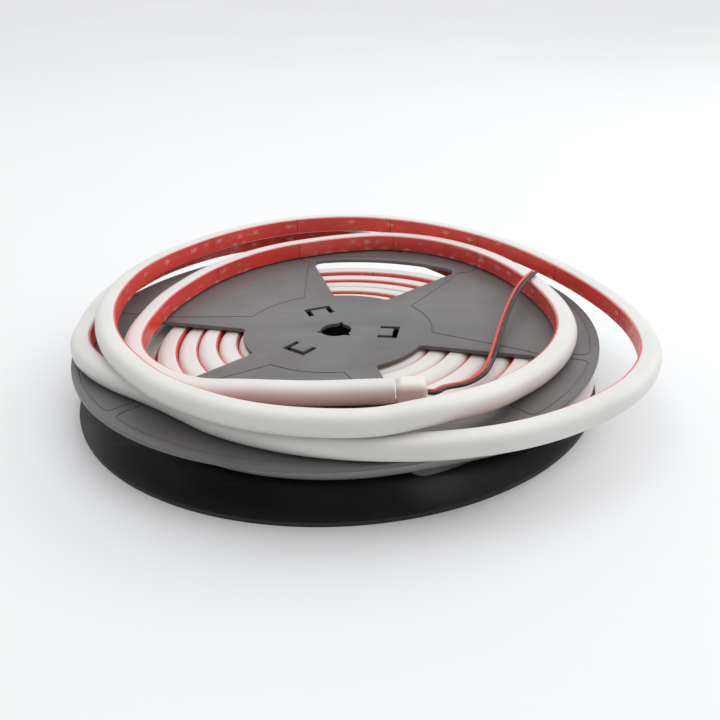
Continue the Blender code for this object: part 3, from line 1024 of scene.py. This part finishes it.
    def build(self) -> None:
        """Build both flanges and dress them and the barrel."""
        upper = self.plate("upper_flange", self.site.top - self.thickness)
        self.relief(upper)
        lower = self.plate("lower_flange", 0.0)
        for piece in (upper, lower):
            finish_smooth(piece, FLANGE_SHARP)
        UPPER_PLASTIC.dress(upper)
        LOWER_PLASTIC.dress(lower)
        mount(upper, Slot.GREY_PLASTIC, "top_flange")
        mount(lower, Slot.DARK_PLASTIC, "bottom_flange")
        LOWER_PLASTIC.dress(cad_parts["barrel"])


# The flex

@dataclass(frozen=True)
class FlexSection:
    """The flex's D-shaped section and the tape on its flat back.

    Attributes:
        width: height of the flex as it stands on edge.
        depth: from its flat back to its dome.
        corner: rounding of the back's corners.
        fullness: exponent of the dome's curve; 2 is round and more is squarer.
        dome_steps: faces round the dome.
        tape_width: width of the mounting tape.
        tape_thickness: thickness of the tape with its liner.
        tape_gap: gap that keeps the tape's face off the flex's.
    """

    width: float = 9.5 * MM
    depth: float = 8.9 * MM
    corner: float = 0.7 * MM
    fullness: float = 2.25
    dome_steps: int = 18
    tape_width: float = 8.2 * MM
    tape_thickness: float = 0.7 * MM
    tape_gap: float = 0.03 * MM

    def body(self) -> list[tuple[float, float]]:
        """Return the flex's corners, outwards first and then up, anticlockwise."""
        back, half = -self.depth / 2, self.width / 2
        centre = self.depth / 2 - half
        points = [(back, self.corner - half)]
        points += [(back + self.corner * (1 - cos(a)), -half + self.corner * (1 - sin(a)))
                   for a in (radians(30), radians(60), radians(90))]
        points.append(((back + centre) / 2, -half))
        for i in range(self.dome_steps + 1):
            angle = pi * i / self.dome_steps - pi / 2
            x = abs(cos(angle)) ** (2 / self.fullness)
            y = abs(sin(angle)) ** (2 / self.fullness) * (1 if angle > 0 else -1)
            points.append((centre + half * x, half * y))
        points.append(((back + centre) / 2, half))
        points += [(back + self.corner * (1 - cos(a)), half - self.corner * (1 - sin(a)))
                   for a in (radians(90), radians(60), radians(30))]
        points.append((back, half - self.corner))
        return points

    def tape(self) -> list[tuple[float, float]]:
        """Return the tape's corners, with softened edges on the liner's side."""
        face = -self.depth / 2 - self.tape_gap
        outer = face - self.tape_thickness
        half = self.tape_width / 2
        soft = 0.15 * MM
        return [(outer, soft - half), (outer + soft, -half), (face, -half), (face, half),
                (outer + soft, half), (outer, half - soft), (outer, half / 3), (outer, -half / 3)]


@dataclass
class WoundTurns:
    """The flex that is still wound between the flanges, two layers high.

    Attributes:
        site: where the reel stands.
        section: the flex's section.
        rings: radius of each turn's middle, from the barrel out.
        heights: height of each upper turn's middle, below the upper flange's top.
        lower_height: height of the lower turns' middle.
        step_start: azimuth where each turn begins to move out to the next ring.
        step_end: azimuth where it has got there.
        leave: azimuth where the outermost turn has come down to the loose flex's start.
        leave_radius: its radius there.
        descent: degrees over which it comes down.
        spacing: distance between two sections.
        turn_step: degrees between two places worked out on a route.
    """

    site: Site
    section: FlexSection
    rings: tuple[float, ...] = (43.5 * MM, 53.2 * MM, 62.9 * MM, 72.5 * MM, 82.2 * MM, 92.8 * MM)
    heights: tuple[float, ...] = (-7.5 * MM, -7.7 * MM, -7.2 * MM, -8.3 * MM, -7.8 * MM, -7.1 * MM)
    lower_height: float = -18.95 * MM
    step_start: float = 228.0
    step_end: float = 276.0
    leave: float = 200.0
    leave_radius: float = 95.05 * MM
    descent: float = 75.0
    spacing: float = 4 * MM
    turn_step: float = 2.0

    def ring_at(self, values: tuple[float, ...], azimuth: float) -> float:
        """Return a ring's value at a running azimuth, eased over from ring to ring."""
        run = (azimuth - self.step_end) / 360
        ring = min(len(values) - 1, int(run))
        following = min(len(values) - 1, ring + 1)
        start = 1 - (self.step_end - self.step_start) / 360
        share = ease((run - ring - start) / (1 - start))
        return values[ring] * (1 - share) + values[following] * share

    def upper_route(self) -> list[Vector]:
        """Return the upper layer's route, which ends where the loose flex starts."""
        last = self.leave + 360 * len(self.rings)
        places = []
        azimuth = self.step_end
        while azimuth <= last:
            down = ease(1 - (last - azimuth) / self.descent)
            radius = self.ring_at(self.rings, azimuth)
            height = self.ring_at(self.heights, azimuth)
            radius += (self.leave_radius - radius) * down
            height += (self.lower_height - height) * down
            places.append(Vector((*self.site.polar(radius, azimuth, height), 0.0)))
            azimuth += self.turn_step
        return even_steps(places, self.spacing)

    def lower_route(self) -> list[Vector]:
        """Return the lower layer's route, one turn short, its end hidden by the last turn."""
        rings = self.rings[:-1]
        places = []
        azimuth = self.step_end
        while azimuth <= self.step_start + 360 * len(rings):
            radius = self.ring_at(rings, azimuth)
            places.append(Vector((*self.site.polar(radius, azimuth, self.lower_height), 0.0)))
            azimuth += self.turn_step
        return even_steps(places, self.spacing)

    def build(self) -> None:
        """Build the turns and their tape, and dress them."""
        turns, tapes = [], []
        for name, route in (("upper", self.upper_route()), ("lower", self.lower_route())):
            turns.append(sweep(f"wound_{name}", route, self.section.body()))
            tapes.append(sweep(f"wound_tape_{name}", route, self.section.tape()))
        for pair in (turns, tapes):
            take(pair[0])
            pair[1].select_set(True)
            bpy.ops.object.join()
        turns[0].name, tapes[0].name = "wound_turns", "wound_tape"
        FLEX_SILICONE.dress(turns[0])
        LINER.dress(tapes[0])
        mount(turns[0], Slot.WHITE_SILICONE, "neon_flex_roll")
        mount(tapes[0], Slot.RED_LINER)


LYING = 5.05
STACKED = 14.85
WOUND = -18.95

# The loose flex's route: azimuth in degrees, radius and height of its middle over the upper
# flange in millimetres, and roll in degrees. The part's source has the same points.
LOOSE_ROUTE = (
    (200, 95.05, WOUND, 0), (235, 95.05, WOUND, 0), (270, 95.05, WOUND, 0), (295, 98, WOUND, 0),
    (318, 110, WOUND, 0), (341, 119, WOUND, 0), (365, 121, WOUND, 0), (388, 125.5, WOUND, 0),
    (406, 131.55, -17.5, 0), (420, 131.4, -9.5, 0), (429, 132.5, -4.5, 0), (438, 136, -0.5, 0),
    (446, 141.5, 1.8, 0), (456, 144, 2.1, 0), (468, 145.8, 2.4, -15), (478, 144.8, 2.8, -20),
    (488, 139.5, 3.8, -12), (498, 134.5, 4.6, -6), (508, 129.5, LYING, 0), (518, 126.3, LYING, 0),
    (528, 123.4, LYING, 0), (538, 121, LYING, 0), (546, 120.8, LYING, 0), (554, 118.8, LYING, 0),
    (562, 114.5, LYING, 0), (570, 109.8, LYING, 0), (578, 105.4, LYING, 0), (586, 103.5, LYING, 0),
    (594, 104.5, LYING, 0), (601, 107, LYING, 0), (613, 111.3, LYING, 0), (625, 116.3, LYING, 0),
    (637, 121.9, LYING, 0), (649, 128.9, LYING, 0), (661, 135.8, LYING, 0), (673, 141.7, LYING, 0),
    (685, 146.6, LYING, 0), (697, 147.5, LYING, 0), (709, 143.8, LYING, 0), (720, 138.8, 5.3, 0),
    (732, 133.5, 6.3, 0), (744, 130.5, 7.4, 0), (756, 130, 8.6, 0), (768, 130.5, 9.8, 0),
    (780, 132.5, 10.8, 0), (792, 135.2, 11.5, 0), (804, 137.3, 12, 0), (816, 136.6, 12.4, 0),
    (828, 133.3, 12.6, 0), (840, 127.5, 13, 0), (852, 121.8, 13.5, 0), (864, 117.6, 14.2, 0),
    (876, 114, STACKED, 0), (888, 111, STACKED, 0), (900, 109, STACKED, 0),
    (912, 107.5, STACKED, 0), (924, 107, STACKED, 0), (936, 107.5, STACKED, 0),
    (948, 109.7, STACKED, 0), (960, 112.3, STACKED, 0), (972, 115.5, STACKED, 0),
    (984, 118, STACKED, 0), (996, 120.2, STACKED, 0), (1005, 118.6, 14.8, 0),
    (1014, 115.2, 12.4, 0), (1023, 111.5, 9.2, 0), (1032, 108.4, 6.5, 0), (1041, 108, LYING, 0),
    (1050, 109.1, LYING, 0), (1059, 109.9, LYING, 0), (1068, 110.2, LYING, 0),
    (1080, 109.6, LYING, 0), (1090, 109.4, LYING, 0), (1100, 110.5, LYING, 0),
    (1110, 112.7, LYING, 0), (1120, 116, LYING, 0), (1130, 119.5, LYING, 0),
    (1140, 122.3, LYING, 0), (1149, 123.2, LYING, 0), (1157, 122.5, LYING, 0),
    (1166, 118.5, LYING, 0), (1177, 113.6, LYING, 0), (1184, 111.3, LYING, 0),
    (1195, 106.9, LYING, 0), (1204, 103, LYING, 0), (1216, 98.6, LYING, 0), (1229, 94.8, LYING, 0),
    (1249, 93, LYING, 0), (1261, 94.3, LYING, 0), (1273, 96.6, LYING, 0), (1285, 97, LYING, 0),
    (1297, 94.9, LYING, 0), (1304, 92.9, LYING, 0), (1311, 89.8, LYING, 0), (1320, 83, LYING, 0),
    (1330, 79, LYING, 0), (1340, 77.5, LYING, 0), (1350, 77.6, 5.3, 0), (1358, 79.2, 5.6, 0),
    (1366, 82.5, 6, 0),
)

# The lead's route in millimetres, from the reel's axis and over the upper flange, as the
# part has it.
LEAD_ROUTE = (
    (44.4, -71.6, 3.2), (54.2, -65, 1.3), (62.3, -57.3, 1.3), (67.2, -47.6, 1.6),
    (71.3, -36.6, 2.6), (74.8, -26, 3.8), (78.6, -15.1, 5.2), (82.7, -4.4, 7),
    (87.4, 6.6, 8.8), (91.3, 14.6, 10.3), (95.5, 22.2, 11.3), (100.2, 30, 11.4),
    (105, 37.7, 11.3),
)


@dataclass
class LooseFlex:
    """The flex that has come off the reel, its tape, its cap and its lead.

    Attributes:
        site: where the reel stands.
        section: the flex's section.
        spacing: distance between two sections.
        cap_length: of the end cap.
        cap_width: its height.
        cap_depth: its depth.
        cap_round: rounding of its edges.
        cap_border: width of the rounded border round each of its ends.
        cap_dish: how deep each end is sunk inside that border.
        cap_outlet: width of the ring round the lead's outlet.
        touch: gap between pieces that touch.
        wire_radius: radius of a lead wire.
        wire_spacing: distance between two points of a wire.
    """

    site: Site
    section: FlexSection
    spacing: float = 3 * MM
    cap_length: float = 12.7 * MM
    cap_width: float = 11.4 * MM
    cap_depth: float = 11.0 * MM
    cap_round: float = 3.0 * MM
    cap_border: float = 0.8 * MM
    cap_dish: float = 0.1 * MM
    cap_outlet: float = 0.6 * MM
    touch: float = 0.3 * MM
    wire_radius: float = 0.85 * MM
    wire_spacing: float = 2.5 * MM
    route: list[Vector] = field(default_factory=list)

    def find_route(self) -> None:
        """Work out the route's places, with their roll as the fourth number."""
        fine = []
        knots = [Vector((azimuth, radius * MM, height * MM, roll))
                 for azimuth, radius, height, roll in LOOSE_ROUTE]
        for azimuth, radius, height, roll in smooth_curve(knots):
            place = self.site.polar(radius, azimuth, height)
            fine.append(Vector((*place, radians(roll))))
        self.route = even_steps(fine, self.spacing)

    def heading(self) -> Vector:
        """Return the level direction in which the flex ends."""
        ahead = (self.route[-1] - self.route[-4]).to_3d()
        ahead.z = 0.0
        return ahead.normalized()

    def build_cap(self) -> tuple[Piece, Vector]:
        """Return the end cap and the point where the lead leaves it."""
        ahead = self.heading()
        end = self.route[-1].to_3d()
        middle = end + ahead * (self.cap_length / 2 + 2 * self.touch)
        deselect()
        bpy.ops.mesh.primitive_cube_add(size=1.0)
        cap = bpy.context.active_object
        cap.name = "end_cap_shell"
        cap.scale = (self.cap_length, self.cap_depth, self.cap_width)
        bpy.ops.object.transform_apply(location=False, rotation=False, scale=True)
        bpy.ops.object.mode_set(mode="EDIT")
        shape = bmesh.from_edit_mesh(cap.data)
        for edge in shape.edges:
            edge.select_set(True)
        bmesh.update_edit_mesh(cap.data)
        bpy.ops.mesh.bevel(offset=self.cap_round, segments=8, affect="EDGES")
        shape = bmesh.from_edit_mesh(cap.data)
        for face in shape.faces:
            face.select_set(abs(face.normal.x) > 0.99)
        bmesh.update_edit_mesh(cap.data)
        bpy.ops.mesh.inset(thickness=self.cap_border, depth=-self.cap_dish)
        bpy.ops.mesh.inset(thickness=self.cap_outlet, depth=0.0)
        bpy.ops.object.mode_set(mode="OBJECT")
        cap.rotation_euler.z = atan2(ahead.y, ahead.x)
        cap.location = middle
        settle(cap)
        finish_smooth(cap, CAP_SHARP)
        return cap, middle + ahead * (self.cap_length / 2 + self.touch)

    def build_lead(self, outlet: Vector) -> None:
        """Build the red and the black wire from the cap's outlet."""
        ahead = self.heading()
        side = Vector((-ahead.y, ahead.x, 0.0))
        middle = [outlet, outlet + ahead * 3 * MM]
        middle += [self.site.at(x * MM, y * MM, z * MM) for x, y, z in LEAD_ROUTE]
        route = even_steps(smooth_curve(middle), self.wire_spacing)
        offset = self.wire_radius + self.touch / 2
        wires = (("lead_red", RED_WIRE, Slot.RED_INSULATION, "lead_wire_red", 1),
                 ("lead_black", BLACK_WIRE, Slot.BLACK_INSULATION, "lead_wire_black", -1))
        for name, finish, slot, node, sign in wires:
            places = []
            for i, place in enumerate(route):
                ends = route[min(i + 1, len(route) - 1)], route[max(i - 1, 0)]
                tangent = (ends[0] - ends[1]).normalized()
                across = Vector((-tangent.y, tangent.x, 0.0)).normalized() if i else side
                places.append(place + across * sign * offset)
            piece = tube(name, places, self.wire_radius, resolution=4)
            finish.dress(piece)
            mount(piece, slot, node)

    def build(self) -> None:
        """Build the loose flex, its tape, its cap and its lead."""
        self.find_route()
        flex = sweep("loose_flex", self.route, self.section.body())
        tape = sweep("loose_tape", self.route, self.section.tape())
        cap, outlet = self.build_cap()
        FLEX_SILICONE.dress(flex)
        LINER.dress(tape)
        CAP_SILICONE.dress(cap)
        mount(flex, Slot.WHITE_SILICONE, "neon_flex_loose_turns")
        mount(tape, Slot.RED_LINER, "mounting_tape")
        mount(cap, Slot.CLEAR_SILICONE, "end_cap")
        self.build_lead(outlet)


# Camera and studio

@dataclass(frozen=True)
class PhotoCamera:
    """The camera at the photograph's viewing angle.

    Attributes:
        place: from the reel's axis and over the upper flange.
        right: the picture's right in the frame.
        up: the picture's up in the frame.
        back: the way back from the picture in the frame.
        lens: focal length for the sensor.
        sensor: sensor width.
    """

    place: tuple[float, float, float] = (0.0, -404.797 * MM, 179.043 * MM)
    right: tuple[float, float, float] = (0.998648, -0.042434, -0.030041)
    up: tuple[float, float, float] = (0.045523, 0.434545, 0.899499)
    back: tuple[float, float, float] = (-0.025115, -0.899650, 0.435889)
    lens: float = 45.25
    sensor: float = 36.0

    def build(self, site: Site) -> None:
        """Add the camera and make it the scene's."""
        data = bpy.data.cameras.new("photo_camera")
        data.lens = self.lens
        data.sensor_width = self.sensor
        data.clip_start = 0.02
        data.clip_end = 50.0
        camera = link("photo_camera", data)
        turn = Matrix((self.right, self.up, self.back)).transposed().to_4x4()
        camera.matrix_world = Matrix.Translation(site.at(*self.place)) @ turn
        bpy.context.scene.camera = camera


@dataclass(frozen=True)
class Lamp:
    """A square soft light that faces the reel.

    Attributes:
        job: what it is for.
        place: where it stands in the frame.
        size: side of its square.
        power: in watts.
        colour: of its light.
    """

    job: Light
    place: tuple[float, float, float]
    size: float
    power: float
    colour: Colour

    def build(self) -> None:
        """Add the light."""
        data = bpy.data.lights.new(self.job.value, "AREA")
        data.shape = "SQUARE"
        data.size = self.size
        data.energy = self.power
        data.color = self.colour
        lamp = link(self.job.value, data)
        lamp.location = self.place
        aim = Vector((0.0, 0.0, 0.02)) - Vector(self.place)
        lamp.rotation_mode = "QUATERNION"
        lamp.rotation_quaternion = aim.to_track_quat("-Z", "Y")


LAMPS = (Lamp(Light.OVERHEAD, (0.1, 0.2, 1.2), 1.0, 2.6, (1.0, 1.0, 1.0)),
         Lamp(Light.KEY, (0.9, 0.35, 0.6), 0.7, 2.0, (0.9, 0.95, 1.0)))


@dataclass(frozen=True)
class Studio:
    """A plain pale floor under soft lights.

    Attributes:
        floor_size: side of the floor.
        sky: colour of the light all round.
        bright: direction that the brightest sky lies in.
        low: strength of the sky opposite to it.
        high: strength of the sky there.
        turn_over: cosine at which the sky starts to brighten.
    """

    floor_size: float = 40.0
    sky: Colour = (0.975, 0.985, 1.0)
    bright: tuple[float, float, float] = (0.3, 0.5, 0.81)
    low: float = 0.24
    high: float = 1.12
    turn_over: float = -0.5

    def build(self) -> None:
        """Add the floor, the sky and the lights."""
        deselect()
        bpy.ops.mesh.primitive_plane_add(size=self.floor_size)
        floor = bpy.context.active_object
        floor.name = "floor"
        settle(floor)
        PALE_FLOOR.dress(floor)
        world = bpy.data.worlds.new("sky")
        world.use_nodes = True
        recipe = Recipe(world.node_tree)
        sky = world.node_tree.nodes["Background"]
        fill(sky, {"Color": (*self.sky, 1.0)})
        towards = recipe.node("ShaderNodeVectorMath", operation="DOT_PRODUCT")
        recipe.join(recipe.coordinates("Generated"), towards.inputs[0])
        towards.inputs[1].default_value = self.bright
        strength = recipe.span(towards.outputs["Value"], self.turn_over, 1.0, self.low, self.high)
        recipe.join(strength, sky.inputs["Strength"])
        scene = bpy.context.scene
        scene.world = world
        scene.view_settings.view_transform = "Standard"
        for lamp in LAMPS:
            lamp.build()


def corners(box: tuple[Vector, Vector]) -> list[list[float]]:
    """Return a box as plain lists of numbers."""
    return [[float(value) for value in corner] for corner in box]


def main() -> None:
    """Build the scene."""
    logging.basicConfig(level=logging.INFO, format="%(name)s: %(message)s")
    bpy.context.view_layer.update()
    site = Site.measured()
    section = FlexSection()
    PhotoCamera().build(site)
    Studio().build()
    Reel(site).build()
    WoundTurns(site, section).build()
    LooseFlex(site, section).build()


if __name__ == "__main__":
    main()
